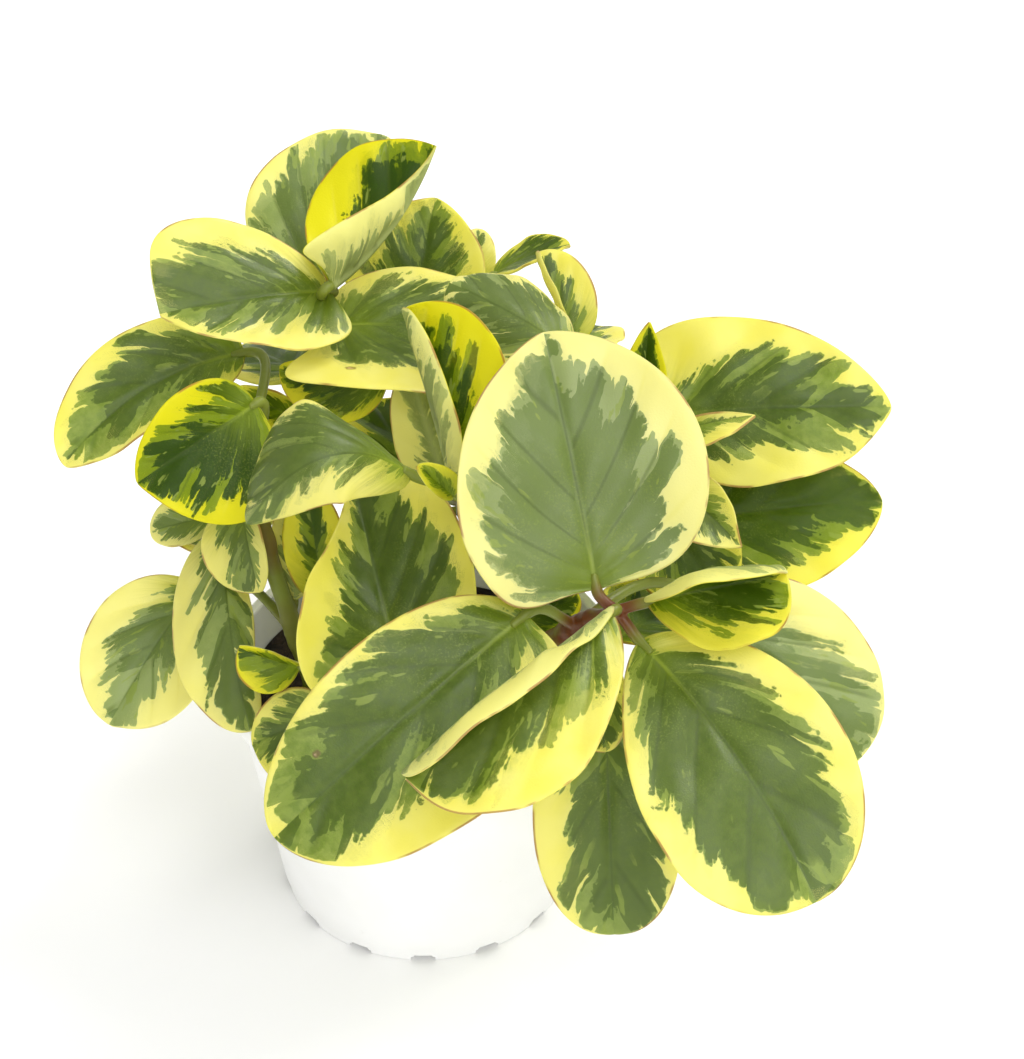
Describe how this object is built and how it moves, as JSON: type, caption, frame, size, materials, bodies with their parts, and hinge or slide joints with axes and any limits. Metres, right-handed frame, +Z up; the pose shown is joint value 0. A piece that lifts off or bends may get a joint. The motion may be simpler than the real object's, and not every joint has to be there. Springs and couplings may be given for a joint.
{
  "type": "potted peperomia",
  "caption": "Bushy variegated peperomia with broad waxy leaves on thick leafy stems, growing in a plain round plant pot with a rolled lip.",
  "frame": {"origin": "centre of the pot's flat underside, where it rests", "axes": "+Z up, -Y towards the front of the plant as it is seen in the picture, +X to its right"},
  "size_m": [0.2608, 0.2664, 0.2307],
  "materials": {
    "pot": "smooth off-white moulded plastic, satin",
    "soil": "dark crumbly potting soil, matte",
    "leaf": "thick waxy leaves, grey-green centres with pale yellow margins and a thin red edge, satin",
    "stem": "fleshy yellow-green stems, satin"
  },
  "bodies": {
    "root": {"pot": "pot", "soil": "soil", "shoot_front": "leaf", "shoot_right": "leaf", "shoot_back": "leaf", "shoot_upper": "leaf", "shoot_middle": "leaf", "shoot_left": "leaf", "shoot_low": "leaf"}
  },
  "joints": []
}
